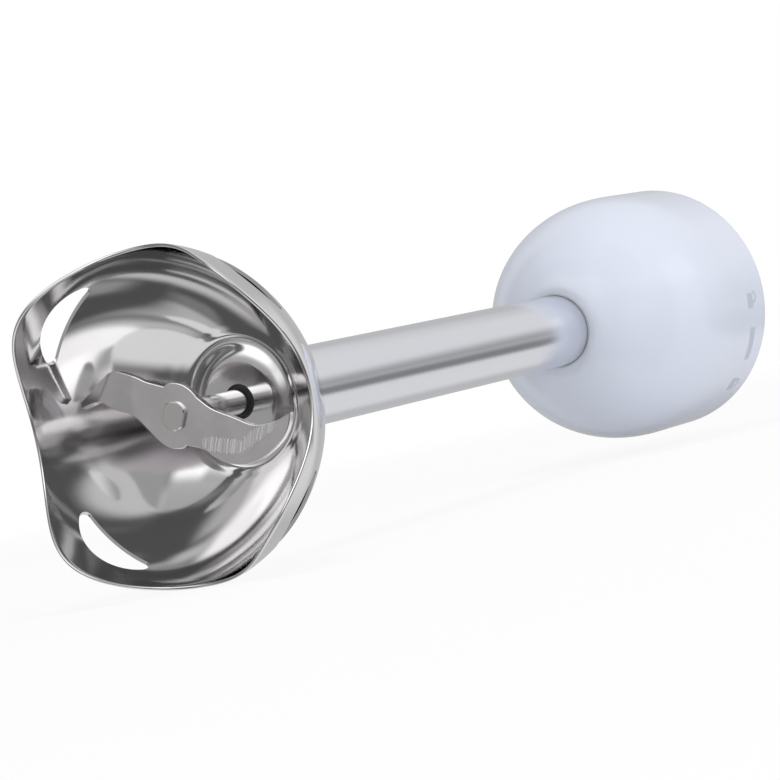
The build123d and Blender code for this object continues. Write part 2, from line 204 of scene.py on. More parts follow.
def arcPoints(middle, radius, start, end, steps):  # angles in degrees from the radius axis
    angles = [math.radians(start + (end - start) * i / steps) for i in range(steps + 1)]
    return [Vector((middle[0] + radius * math.cos(a), middle[1] + radius * math.sin(a))) for a in angles]


def spreadPoints(points, spacing):  # adds points so that no stretch is longer than the spacing
    spread = [points[0]]
    for start, end in zip(points, points[1:]):
        count = max(1, math.ceil((end - start).length / spacing))
        spread += [start.lerp(end, i / count) for i in range(1, count + 1)]
    return spread


def spinOutline(outline, steps):  # closed outline of (radius, height) turned about the leg's axis
    build = bmesh.new()
    verts = [build.verts.new(legPoint(point[0], 0, point[1])) for point in outline]
    edges = [build.edges.new((verts[i - 1], verts[i])) for i in range(len(verts))]
    bmesh.ops.spin(build, geom=verts + edges, cent=(0, axisY, axisZ), axis=(1, 0, 0), angle=2 * math.pi,
                   steps=steps, use_merge=True)
    return build


# Bell: even sheet with soft bends, wavy rim, four crescent slots and a raised hub; mm and degrees
bell = {
    "sheet": 0.7, "mouthRadius": 37.15, "flare": 7.9, "creaseRound": 24.0, "bendSteps": 14,
    "domeMiddle": (-8.53, -3.18), "domeRadius": 46.13, "domeStart": 20.0, "domeSteps": 40,
    "neckRadius": 10.15, "neckTop": 45.4, "neckBore": 9.05, "neckEase": 0.2, "neckFootRound": 0.7,
    "neckSteps": 3,
    "hubFront": 35.2, "hubBack": 36.0, "hubHole": 3.8, "hubEdge": 9.6, "hubFoot": 13.4,
    "edgeRound": 8.0, "edgeSteps": 12, "footRound": 3.0, "footSteps": 6,
    "lobes": 4, "lobeDepth": 9.3, "lobeRounding": 0.3, "waveTop": 15.0, "waveDomeEnd": 40.0,
    "waveSteps": 30, "rimSteps": 6, "spacing": 0.7, "steps": 320, "sharpAngle": 40.0,
    "slot": {"bottom": 7.6, "top": 14.1, "arcRadius": 13.3, "arcSteps": 48, "cornerRound": 1.5,
             "cornerSteps": 10, "reach": (18.0, 50.0)},
    "finish": {"colour": (0.80, 0.795, 0.80), "tint": (0.75, 0.738, 0.745), "cloudScale": 30.0,
               "cloudSpan": (0.35, 0.75), "roughness": 0.07, "roughnessSpread": 0.05, "hubRoughness": 0.125,
               "hubReach": (11.6, 13.8), "ringScale": 2600.0, "ringDepth": 3.0e-7, "waveScale": 55.0,
               "waveDepth": 4.0e-5},
}


def polishedSteel(look):  # mirror polish with fine lathe rings
    material, tree, shader = newFinish("polishedSteel", {"Metallic": 1.0})
    place, along, side, lift, radius = legPlace(tree)
    outward = radius - along  # grows steadily from the hub to the rim
    rings = tree.lineNoise(outward, look["ringScale"], fineDetail)
    waves = tree.noise(place, look["waveScale"], softDetail)
    cloud = tree.step(tree.noise(place, look["cloudScale"], fineDetail), *look["cloudSpan"])
    feed(tree, shader, "Base Color", tree.mixColour(cloud, look["colour"], look["tint"]))
    onHub = 1 - tree.step(radius / mm, *look["hubReach"])  # the hub is turned, and a little duller
    rough = look["roughness"] + onHub * (look["hubRoughness"] - look["roughness"])
    feed(tree, shader, "Roughness", rough + (rings - 0.5) * look["roughnessSpread"])
    wavy = tree.bump(waves, 1.0, look["waveDepth"])
    feed(tree, shader, "Normal", tree.bump(rings, 1.0, look["ringDepth"], wavy))
    return material


def bellSide(inset):  # mouth, soft crease and start of the dome in section, at a depth inside the skin
    flare, start = math.radians(bell["flare"]), math.radians(bell["domeStart"])
    mouth = Vector((bell["mouthRadius"] - inset / math.cos(flare), 0))
    shoulder = arcPoints(bell["domeMiddle"], bell["domeRadius"] - inset, bell["domeStart"], 0, 1)[0]
    rise = (shoulder.x + math.tan(start) * shoulder.y - mouth.x) / (math.tan(start) - math.tan(flare))
    crease = Vector((mouth.x - math.tan(flare) * rise, rise))
    bend = roundCorner(mouth, crease, shoulder, bell["creaseRound"] - inset, bell["bendSteps"])
    return mouth, bend


def domeTurn(radius, place):  # angle at which the dome has a distance from the axis
    return math.degrees(math.acos((place - bell["domeMiddle"][0]) / radius))


def bellRim(mouth, lip):  # half round from the outer skin to the inner one
    sheet = bell["sheet"]
    rim = []
    for i in range(bell["rimSteps"] + 1):
        turn = math.pi * i / bell["rimSteps"]
        place = mouth.lerp(lip, 0.5 - 0.5 * math.cos(turn))
        rim.append(place + Vector((0, 0.5 * sheet * (1 - math.sin(turn)))))
    return rim


def bellOutline():
    middle, start, count = bell["domeMiddle"], bell["domeStart"], bell["domeSteps"]
    innerRadius, outerRadius = bell["domeRadius"] - bell["sheet"], bell["domeRadius"]
    lip, innerBend = bellSide(bell["sheet"])
    mouth, outerBend = bellSide(0)
    rim = bellRim(mouth, lip)
    foot = arcPoints(middle, innerRadius, domeTurn(innerRadius, bell["hubFoot"]), 0, 1)[0]
    footStart = domeTurn(innerRadius, bell["hubFoot"] + bell["footRound"])
    dome = arcPoints(middle, innerRadius, start, footStart, count)
    edge = Vector((bell["hubEdge"], bell["hubFront"]))
    hole = Vector((bell["hubHole"], bell["hubFront"]))
    inner = innerBend + dome + roundCorner(dome[-1], foot, edge, bell["footRound"], bell["footSteps"])
    inner += roundCorner(foot, edge, hole, bell["edgeRound"], bell["edgeSteps"]) + [hole]
    neck, top, ease = bell["neckRadius"], bell["neckTop"], bell["neckEase"]
    back = [Vector((bell["hubHole"], bell["hubBack"])), Vector((bell["neckBore"], bell["hubBack"])),
            Vector((bell["neckBore"], top)), Vector((neck - ease, top)), Vector((neck, top - ease))]
    outerDome = arcPoints(middle, outerRadius, start, domeTurn(outerRadius, neck), count)
    neckFoot = roundCorner(outerDome[-2], outerDome[-1], (neck, top), bell["neckFootRound"],
                           bell["neckSteps"])
    outer = neckFoot[::-1] + outerDome[-2::-1] + outerBend[::-1]
    inside = spreadPoints(rim + inner, bell["spacing"])
    outside = spreadPoints(back + outer + rim[:1], bell["spacing"])
    return inside + outside[:-1]


def skinRadius(side, height):  # distance of the bell's skin from the axis, below the hub
    for start, end in zip(side, side[1:]):
        if height <= end.y:
            return start.x + (end.x - start.x) * (height - start.y) / (end.y - start.y)


def waveRim(build):  # raises the rim to its lobes, and keeps each point on the bell's skin
    sides = []
    for inset in (bell["sheet"], 0):
        mouth, bend = bellSide(inset)
        radius = bell["domeRadius"] - inset
        dome = arcPoints(bell["domeMiddle"], radius, bell["domeStart"], bell["waveDomeEnd"],
                         bell["waveSteps"])
        sides.append([mouth] + bend + dome)
    inner, outer = sides
    lobes, waveTop = bell["lobes"], bell["waveTop"]
    for vert in build.verts:
        height = (vert.co.x - mouthX) / mm
        if height >= waveTop:
            continue
        turn = math.atan2(vert.co.y - axisY, vert.co.z - axisZ)
        radius = math.hypot(vert.co.y - axisY, vert.co.z - axisZ) / mm
        rise = bell["lobeDepth"] / 2 * (1 + math.cos(lobes * turn))
        rise += bell["lobeRounding"] * (1 - math.cos(2 * lobes * turn))
        raised = rise + height * (waveTop - rise) / waveTop
        low, high = skinRadius(inner, height), skinRadius(outer, height)
        share = (radius - low) / (high - low)
        low, high = skinRadius(inner, raised), skinRadius(outer, raised)
        vert.co = legPoint(low + (high - low) * share, turn, raised)


def slotOutline(slot):  # crescent: a large arc below, closed by a straight top with round corners
    middle = slot["bottom"] + slot["arcRadius"]
    small = slot["cornerRound"]
    reach = math.sqrt((slot["arcRadius"] - small) ** 2 - (middle - slot["top"] + small) ** 2)
    corner = Vector((reach, slot["top"] - small))
    lean = math.degrees(math.atan2(corner.y - middle, corner.x))
    right = arcPoints(corner, small, lean, 90, slot["cornerSteps"])
    left = [Vector((-point.x, point.y)) for point in right[::-1]]
    arc = arcPoints((0, middle), slot["arcRadius"], -180 - lean, lean, slot["arcSteps"])
    return right + left + arc[1:-1]


def slotCutter(slot):  # one prism for each slot, half way between the lobes
    outline = slotOutline(slot)
    build = bmesh.new()
    for i in range(bell["lobes"]):
        turn = math.radians(360 / bell["lobes"] * (i + 0.5))
        sideways = Vector((0, math.cos(turn), -math.sin(turn)))
        near, far = [legPoint(radius, turn, 0) for radius in slot["reach"]]
        spots = [near + Vector((point.y * mm, 0, 0)) + sideways * (point.x * mm) for point in outline]
        face = build.faces.new([build.verts.new(spot) for spot in spots])
        prism = bmesh.ops.extrude_face_region(build, geom=[face])["geom"]
        ends = [item for item in prism if isinstance(item, bmesh.types.BMVert)]
        bmesh.ops.translate(build, verts=ends, vec=far - near)
    bmesh.ops.recalc_face_normals(build, faces=build.faces)
    mesh = bpy.data.meshes.new("slotCutter")
    build.to_mesh(mesh)
    build.free()
    return bpy.data.objects.new("slotCutter", mesh)


def cutAway(piece, cutter):
    bpy.context.scene.collection.objects.link(cutter)
    cut = piece.modifiers.new("cut", "BOOLEAN")
    cut.operation = "DIFFERENCE"
    cut.solver = "EXACT"
    cut.object = cutter
    bpy.context.view_layer.update()
    evaluated = piece.evaluated_get(bpy.context.evaluated_depsgraph_get())
    result = bpy.data.meshes.new_from_object(evaluated)
    piece.modifiers.remove(cut)
    before = piece.data
    piece.data = result
    result.name = piece.name
    bpy.data.meshes.remove(before)
    bpy.data.objects.remove(cutter)


def makeBell():
    build = spinOutline(bellOutline(), bell["steps"])
    waveRim(build)
    material = polishedSteel(bell["finish"])
    piece = addPiece("bellPolished", build, material, "housing", ["bell_guard"])
    cutAway(piece, slotCutter(bell["slot"]))
    piece.data.set_sharp_from_angle(angle=math.radians(bell["sharpAngle"]))
    print("bell with", len(piece.data.polygons), "faces")


makeBell()

# Tube: satin stainless, polished round and round
tube = {"colour": (0.81, 0.82, 0.865), "roughness": 0.16, "roughnessSpread": 0.08, "ringScale": 2200.0,
        "ringDepth": 2.0e-6}


def satinSteel(look):
    material, tree, shader = newFinish("satinSteel", {"Metallic": 1.0, "Base Color": rgba(look["colour"])})
    place, along, side, lift, radius = legPlace(tree)
    rings = tree.lineNoise(along, look["ringScale"], fineDetail)
    feed(tree, shader, "Roughness", look["roughness"] + (rings - 0.5) * look["roughnessSpread"])
    feed(tree, shader, "Normal", tree.bump(rings, 1.0, look["ringDepth"]))
    return material


dress(["shaft_tube"], satinSteel(tube))

# Blade: flat plate with eased edges, one arm folded into the bell; mm and degrees in its own plane
blade = {
    "front": 11.4, "thickness": 1.5, "edgeEase": 0.16, "edgeSteps": 2, "hubRadius": 6.9, "hubStep": 6.0,
    "restAngle": 9.9, "pointsPerStretch": 6, "sharpAngle": 15.0,
    "flatInner": [(6.3, 3.5), (9.5, 1.5), (14.7, -0.2), (19.5, -1.7), (24.5, -0.9), (28.5, 0.9)],
    "flatOuter": [(28.5, 0.9), (27.9, -1.9), (25.8, -5.1), (21.6, -8.3), (17.3, -9.9), (12.8, -9.8),
                  (9.1, -8.4), (6.5, -6.9), (2.4, -6.1)],
    "bentInner": [(-5.2, -4.7), (-7.6, -2.5), (-9.9, -0.5), (-12.0, 0.4), (-14.5, 0.8), (-17.5, 1.8),
                  (-19.7, 2.6), (-22.6, 2.4), (-28.4, 1.3)],
    "bentOuter": [(-29.4, 2.5), (-25.9, 4.2), (-22.7, 5.9), (-19.5, 7.6), (-17.1, 8.8), (-15.4, 9.2),
                  (-13.0, 9.0), (-9.7, 8.2), (-6.8, 7.1), (-2.4, 6.1)],
    "foldWidth": 1.4, "foldCuts": 4, "cutTolerance": 1e-5,
    "folds": [{"line": ((-21.6, -0.4), (-14.8, 11.0)), "degrees": 30.0},
              {"line": ((-9.6, -6.0), (-9.6, 12.0)), "degrees": 5.0}],
    "finish": {"colour": (0.86, 0.83, 0.85), "worn": (0.78, 0.75, 0.77), "cloudScale": 120.0,
               "cloudSpan": (0.35, 0.7), "roughness": 0.24, "tipRoughness": 0.06, "tipEdge": (-2.0, 8.0),
               "grainScale": 3500.0, "grainSpread": 0.1, "grainStrength": 0.5, "grainDepth": 5.0e-6},
    "hatch": {"colour": (1.0, 0.99, 0.99), "roughness": 0.5, "height": 2.0, "scale": 2.4, "lean": 0.24,
              "strokeSpan": (0.47, 0.6), "strokeShare": 0.85, "wander": 0.5, "wanderScale": 400.0,
              "raggedScale": 1.92, "raggedReach": 1.4, "edge": (-0.1, 0.15),
              "band": [{"from": (7.9, -5.7), "to": (15.4, -6.3), "halfWidth": 1.5},
                       {"from": (16.2, -6.1), "to": (23.9, -1.4), "halfWidth": 1.25}]},
}


def bladePlane(tree):  # object coordinates, then millimetres in the blade's own plane, u along the flat arm
    place, along, side, lift, radius = legPlace(tree)
    turn = math.radians(blade["restAngle"])
    u = (side * -math.cos(turn) - lift * math.sin(turn)) / mm
    v = (lift * math.cos(turn) - side * math.sin(turn)) / mm
    return place, u, v


def stripDistance(u, v, start, end):  # distance from a straight stretch
    run = (end[0] - start[0], end[1] - start[1])
    length = math.hypot(*run)
    unit = (run[0] / length, run[1] / length)
    du = u - start[0]
    dv = v - start[1]
    share = (du * unit[0] + dv * unit[1]).calc("MAXIMUM", 0.0).calc("MINIMUM", length)
    du = du - share * unit[0]
    dv = dv - share * unit[1]
    return (du * du + dv * dv).calc("SQRT")


def hatchedBand(tree, place, u, v, hatch):  # 1 on a ground stroke of the flat arm, 0 beside the band
    across = u - v * hatch["lean"]
    ragged = tree.lineNoise(across, hatch["raggedScale"], softDetail) - 0.5
    first, second = [part["halfWidth"] - stripDistance(u, v, part["from"], part["to"])
                     for part in hatch["band"]]
    band = tree.step(first.calc("MAXIMUM", second) + ragged * hatch["raggedReach"], *hatch["edge"])
    wander = tree.noise(place, hatch["wanderScale"], softDetail) * hatch["wander"]
    strokes = tree.step(tree.lineNoise(across + wander, hatch["scale"], softDetail), *hatch["strokeSpan"])
    return band * (strokes * hatch["strokeShare"] + (1 - hatch["strokeShare"]))


def bladeSteel(look, hatch):  # tumbled satin steel with a polished tip and a hatched grinding band
    material, tree, shader = newFinish("bladeSteel", {"Metallic": 1.0})
    place, u, v = bladePlane(tree)
    stroke = hatchedBand(tree, place, u, v, hatch)
    cloud = tree.step(tree.noise(place, look["cloudScale"], fineDetail), *look["cloudSpan"])
    plain = tree.mixColour(cloud, look["colour"], look["worn"])
    feed(tree, shader, "Base Color", tree.mixColour(stroke, plain, hatch["colour"]))
    grain = tree.noise(place, look["grainScale"], someDetail)
    start, end = blade["folds"][0]["line"]
    past = (u - start[0]) * (start[1] - end[1]) + (v - start[1]) * (end[0] - start[0])
    tip = tree.step(past, *look["tipEdge"])  # 1 on the bent tip
    rough = look["roughness"] + tip * (look["tipRoughness"] - look["roughness"])
    rough = rough + (grain - 0.5) * look["grainSpread"] + stroke * hatch["roughness"]
    feed(tree, shader, "Roughness", rough)
    bumps = grain + stroke * hatch["height"]
    feed(tree, shader, "Normal", tree.bump(bumps, look["grainStrength"], look["grainDepth"]))
    return material


def curveThrough(points, count):  # smooth curve through points, count steps between each pair
    points = [Vector(point) for point in points]
    ends = [2 * points[0] - points[1]] + points + [2 * points[-1] - points[-2]]
    curve = []
    for a, b, c, d in zip(ends, ends[1:], ends[2:], ends[3:]):
        for i in range(count):
            t = i / count
            curve.append(0.5 * (2 * b + (c - a) * t + (2 * a - 5 * b + 4 * c - d) * t ** 2
                                + (3 * b - a - 3 * c + d) * t ** 3))
    return curve + [points[-1]]


def hubArc(start, end):  # stretch of the hub's circle between two points, the shorter way round
    first = math.atan2(start[1], start[0])
    turn = (math.atan2(end[1], end[0]) - first + math.pi) % (2 * math.pi) - math.pi
    steps = max(2, math.ceil(abs(turn) / math.radians(blade["hubStep"])))
    radius = blade["hubRadius"]
    angles = [first + turn * i / steps for i in range(1, steps)]
    return [Vector((radius * math.cos(a), radius * math.sin(a))) for a in angles]


def foldPoint(point, fold):  # turns a point that lies past the fold line, with depth growing into the bell
    start, end = [Vector(p) for p in fold["line"]]
    run = (end - start).normalized()
    across = Vector((-run.y, run.x))
    place = point.xy - start
    past = place.dot(across)
    if past <= 0:
        return point
    width = blade["foldWidth"]
    turn = math.radians(fold["degrees"]) * min(1.0, past / width)
    radius = width / math.radians(fold["degrees"])
    beyond = max(0.0, past - width)
    ahead = radius * math.sin(turn) + beyond * math.cos(turn) - point.z * math.sin(turn)
    depth = radius * (1 - math.cos(turn)) + beyond * math.sin(turn) + point.z * math.cos(turn)
    spot = start + run * place.dot(run) + across * ahead
    return Vector((spot.x, spot.y, depth))


def bladeSpot(point):  # from the blade's own plane to the frame
    turn = math.radians(blade["restAngle"])
    lift = point.y * math.cos(turn) - point.x * math.sin(turn)
    side = point.x * math.cos(turn) + point.y * math.sin(turn)
    return Vector((mouthX + (blade["front"] + point.z) * mm, axisY - side * mm, axisZ + lift * mm))


def bladeOutline():
    count = blade["pointsPerStretch"]
    flatInner, flatOuter = [curveThrough(blade[name], count) for name in ("flatInner", "flatOuter")]
    bentInner, bentOuter = [curveThrough(blade[name], count) for name in ("bentInner", "bentOuter")]
    outline = flatInner + flatOuter[1:] + hubArc(flatOuter[-1], bentInner[0])
    return outline + bentInner + bentOuter + hubArc(bentOuter[-1], flatInner[0])


def cutFold(build, fold):  # rows of edges along a fold, so that it bends round
    start, end = [Vector((*p, 0)) for p in fold["line"]]
    run = (end - start).normalized()
    across = Vector((-run.y, run.x, 0))
    for i in range(blade["foldCuts"] + 1):
        geom = build.verts[:] + build.edges[:] + build.faces[:]
        spot = start + across * (blade["foldWidth"] * i / blade["foldCuts"])
        bmesh.ops.bisect_plane(build, geom=geom, dist=blade["cutTolerance"], plane_co=spot, plane_no=across)


def makeBlade():
    build = bmesh.new()
    front = build.faces.new([build.verts.new((point.x, point.y, 0)) for point in bladeOutline()])
    plate = bmesh.ops.extrude_face_region(build, geom=[front])["geom"]
    back = [item for item in plate if isinstance(item, bmesh.types.BMVert)]
    bmesh.ops.translate(build, verts=back, vec=(0, 0, blade["thickness"]))
    bmesh.ops.recalc_face_normals(build, faces=build.faces)
    edges = [edge for edge in build.edges if edge.verts[0].co.z == edge.verts[1].co.z]
    bmesh.ops.bevel(build, geom=edges, offset=blade["edgeEase"], segments=blade["edgeSteps"],
                    affect="EDGES", profile=0.5, material=-1)
    for fold in blade["folds"]:
        cutFold(build, fold)
    for vert in build.verts:
        for fold in blade["folds"]:
            vert.co = foldPoint(vert.co, fold)
        vert.co = bladeSpot(vert.co)
    material = bladeSteel(blade["finish"], blade["hatch"])
    piece = addPiece("bladeEased", build, material, "rotor", ["blade"])
    piece.data.set_sharp_from_angle(angle=math.radians(blade["sharpAngle"]))
    print("blade with", len(piece.data.polygons), "faces")


makeBlade()

# Shaft and pin: ground steel
shaft = {"colour": (0.76, 0.75, 0.74), "roughness": 0.14, "roughnessSpread": 0.08, "ringScale": 3000.0,
         "ringDepth": 1.5e-6}
dress(["drive_shaft", "coupling_pin"], satinSteel(shaft))

# Moulded plastic and rubber: faint orange peel and patches of gloss
gloss = {"patchScale": 60.0, "least": 0.7, "spread": 0.6, "peelStrength": 0.5}


def mouldedPlastic(name, look):
    constants = {"Base Color": rgba(look["colour"]), "Specular IOR Level": 0.5}
    material, tree, shader = newFinish(name, constants)
    place = objectPlace(tree)
    peel = tree.noise(place, look["peelScale"], someDetail)
    patches = tree.noise(place, gloss["patchScale"], someDetail)
    feed(tree, shader, "Roughness", look["roughness"] * (gloss["least"] + patches * gloss["spread"]))
    feed(tree, shader, "Normal", tree.bump(peel, gloss["peelStrength"], look["peelDepth"]))
    return material


# Bulb: smooth skin from the tube to a straight rim, a sleeve for the tube inside; mm from the mouth
bulb = {
    "front": 178.4, "frontRadius": 10.6, "radius": 31.8, "shoulderLength": 39.2, "startPower": 1.42,
    "endPower": 2.5, "skinSteps": 48, "skinGather": 1.6, "rim": 236.2, "rimRound": 0.8, "rimSteps": 6,
    "bore": 29.4, "boreRound": 0.3, "boreSteps": 3, "lipBore": 9.3, "lipRound": 0.2, "lipSteps": 4,
    "sleeveRadius": 12.5, "sleeveTop": 194.4,
    "innerSkin": [(29.4, 214.0), (27.0, 203.0), (20.0, 190.0), (12.5, 186.0)],
    "steps": 192, "spacing": 1.0, "sharpAngle": 50.0,
    "finish": {"colour": (0.74, 0.785, 0.90), "roughness": 0.07, "peelScale": 900.0, "peelDepth": 1.0e-6},
}


def bulbOutline():
    front, reach, count = bulb["front"], bulb["radius"] - bulb["frontRadius"], bulb["skinSteps"]
    skin = []
    for i in range(count + 1):
        share = (i / count) ** bulb["skinGather"]  # points gather where the skin turns most
        grow = (1 - (1 - share) ** bulb["endPower"]) ** (1 / bulb["startPower"])
        skin.append(Vector((bulb["frontRadius"] + reach * grow, front + bulb["shoulderLength"] * share)))
    rim = Vector((bulb["radius"], bulb["rim"]))
    edge = Vector((bulb["bore"], bulb["rim"]))
    inner = [Vector(point) for point in bulb["innerSkin"]]
    sleeve = [Vector((radius, bulb["sleeveTop"])) for radius in (bulb["sleeveRadius"], bulb["lipBore"])]
    lip = Vector((bulb["lipBore"], front))
    outline = skin + roundCorner(skin[-1], rim, edge, bulb["rimRound"], bulb["rimSteps"])
    outline += roundCorner(rim, edge, inner[0], bulb["boreRound"], bulb["boreSteps"]) + inner + sleeve
    outline += roundCorner(sleeve[1], lip, skin[0], bulb["lipRound"], bulb["lipSteps"]) + [skin[0]]
    return spreadPoints(outline, bulb["spacing"])[:-1]


def makeBulb():
    build = spinOutline(bulbOutline(), bulb["steps"])
    material = mouldedPlastic("whiteShell", bulb["finish"])
    piece = addPiece("bulbSkin", build, material, "housing", ["coupling_shell"])
    piece.data.set_sharp_from_angle(angle=math.radians(bulb["sharpAngle"]))
    print("bulb with", len(piece.data.polygons), "faces")


makeBulb()

# Seal line: thin lip of the ring where the tube enters the bulb
sealRing = {"middle": 9.16, "section": 0.15, "sectionSteps": 10, "height": 178.53, "steps": 128,
            "finish": {"colour": (0.58, 0.58, 0.61), "roughness": 0.55, "peelScale": 2500.0,
                       "peelDepth": 4.0e-6}}


def makeSealLine():
    middle = (sealRing["middle"], sealRing["height"])
    circle = arcPoints(middle, sealRing["section"], 0, 360, sealRing["sectionSteps"])[:-1]
    build = spinOutline(circle, sealRing["steps"])
    material = mouldedPlastic("greyRubber", sealRing["finish"])
    addPiece("sealLine", build, material, "housing", ["tube_seal_ring"])
    print("seal line added")


makeSealLine()

# Lock marks near the rim: an open padlock, a bar and a closed padlock, printed in pale grey; mm and degrees
marks = {
    "height": 228.3, "lift": 0.02, "open": -95.4, "closed": -137.6, "bar": (-108.2, -124.2),
    "barWidth": 2.7, "body": (4.0, 2.9), "shackleRadius": 1.3, "shackleWidth": 0.75, "shackleRise": 0.6,
    "shackleSteps": 12, "openShift": 0.9, "spacing": 0.4,
    "finish": {"colour": (0.56, 0.60, 0.70), "roughness": 0.4, "peelScale": 2500.0, "peelDepth": 1.0e-6},
}


def ribbon(build, path, width):  # flat strip on the bulb's skin, its path round the bulb and along the leg
    radius = bulb["radius"] + marks["lift"]
    path = spreadPoints([Vector(point) for point in path], marks["spacing"])
    sides = ([], [])
    for i, point in enumerate(path):
        run = (path[min(i + 1, len(path) - 1)] - path[max(i - 1, 0)]).normalized()
        across = Vector((-run.y, run.x)) * (width / 2)
        for side, spot in zip(sides, (point + across, point - across)):
            side.append(build.verts.new(legPoint(radius, spot.x / radius, marks["height"] + spot.y)))
    edges = [build.edges.new(pair) for side in sides for pair in zip(side, side[1:])]
    bmesh.ops.bridge_loops(build, edges=edges)


def padlock(build, turn, shift):  # a shackle that is shifted stands open, with one leg short
    middle = math.radians(turn) * bulb["radius"]
    width, height = marks["body"]
    ribbon(build, [(middle - width / 2, -height / 2), (middle + width / 2, -height / 2)], height)
    left, right = middle + shift - marks["shackleRadius"], middle + shift + marks["shackleRadius"]
    rise = marks["shackleRise"]
    arch = arcPoints((middle + shift, rise), marks["shackleRadius"], 180, 0, marks["shackleSteps"])
    shackle = [Vector((left, 0)), *arch, Vector((right, rise if shift else 0))]
    ribbon(build, shackle, marks["shackleWidth"])


def makeMarks():
    build = bmesh.new()
    padlock(build, marks["open"], marks["openShift"])
    padlock(build, marks["closed"], 0)
    ends = [(math.radians(turn) * bulb["radius"], 0) for turn in marks["bar"]]
    ribbon(build, ends, marks["barWidth"])
    addPiece("lockMarks", build, mouldedPlastic("markPrint", marks["finish"]), "housing", [])
    print("lock marks printed")


makeMarks()

# Inside of the socket, bearings, rubber and small steel
insert = {"colour": (0.72, 0.74, 0.80), "roughness": 0.45, "peelScale": 1500.0, "peelDepth": 4.0e-6}
bearings = {"colour": (0.80, 0.77, 0.69), "roughness": 0.5, "peelScale": 1500.0, "peelDepth": 3.0e-6}
driveDog = {"colour": (0.045, 0.045, 0.05), "roughness": 0.42, "peelScale": 1800.0, "peelDepth": 5.0e-6}
rubber = {"colour": (0.07, 0.068, 0.07), "roughness": 0.6, "peelScale": 2500.0, "peelDepth": 6.0e-6}
bushes = {"colour": (0.60, 0.40, 0.20), "roughness": 0.35, "roughnessSpread": 0.1, "ringScale": 2000.0,
          "ringDepth": 2.0e-6}
smallSteel = {"colour": (0.62, 0.62, 0.63), "roughness": 0.3, "roughnessSpread": 0.1, "ringScale": 2500.0,
              "ringDepth": 2.0e-6}
dress(["socket_insert"], mouldedPlastic("socketPlastic", insert))
dress(["lower_bearing_holder", "upper_bearing_holder", "shaft_guide", "lower_thrust_washer",
       "upper_thrust_washer"], mouldedPlastic("bearingPlastic", bearings))
dress(["drive_coupling"], mouldedPlastic("couplingPlastic", driveDog))
dress(["shaft_seal", "socket_gasket"], mouldedPlastic("blackRubber", rubber))
dress(["lower_bush", "upper_bush"], satinSteel(bushes))
dress(["tube_clip", "seal_retainer", "lower_circlip", "upper_circlip", "socket_screw_1", "socket_screw_2",
       "socket_screw_3"], satinSteel(smallSteel))
print("finishes assigned")

# Camera at the photograph's angle
cameraPlace = {"spot": (-0.613048, -0.371254, 0.039884), "aim": (-0.000291, 0.014247, 0.030522),
               "rollDegrees": -12.034, "lensMm": 139.887, "sensorMm": 36.0, "nearest": 0.01}


def addCamera(place):
    camera = bpy.data.objects.new("camera", bpy.data.cameras.new("camera"))
    bpy.context.scene.collection.objects.link(camera)
    camera.data.sensor_width = place["sensorMm"]
    camera.data.lens = place["lensMm"]
    camera.data.clip_start = place["nearest"]
    spot = Vector(place["spot"])
    roll = Quaternion((0, 0, 1), math.radians(place["rollDegrees"]))
    turn = (Vector(place["aim"]) - spot).to_track_quat("-Z", "Y") @ roll
    camera.matrix_world = Matrix.LocRotScale(spot, turn, None)
    bpy.context.scene.camera = camera
    return camera


camera = addCamera(cameraPlace)
print("camera placed")

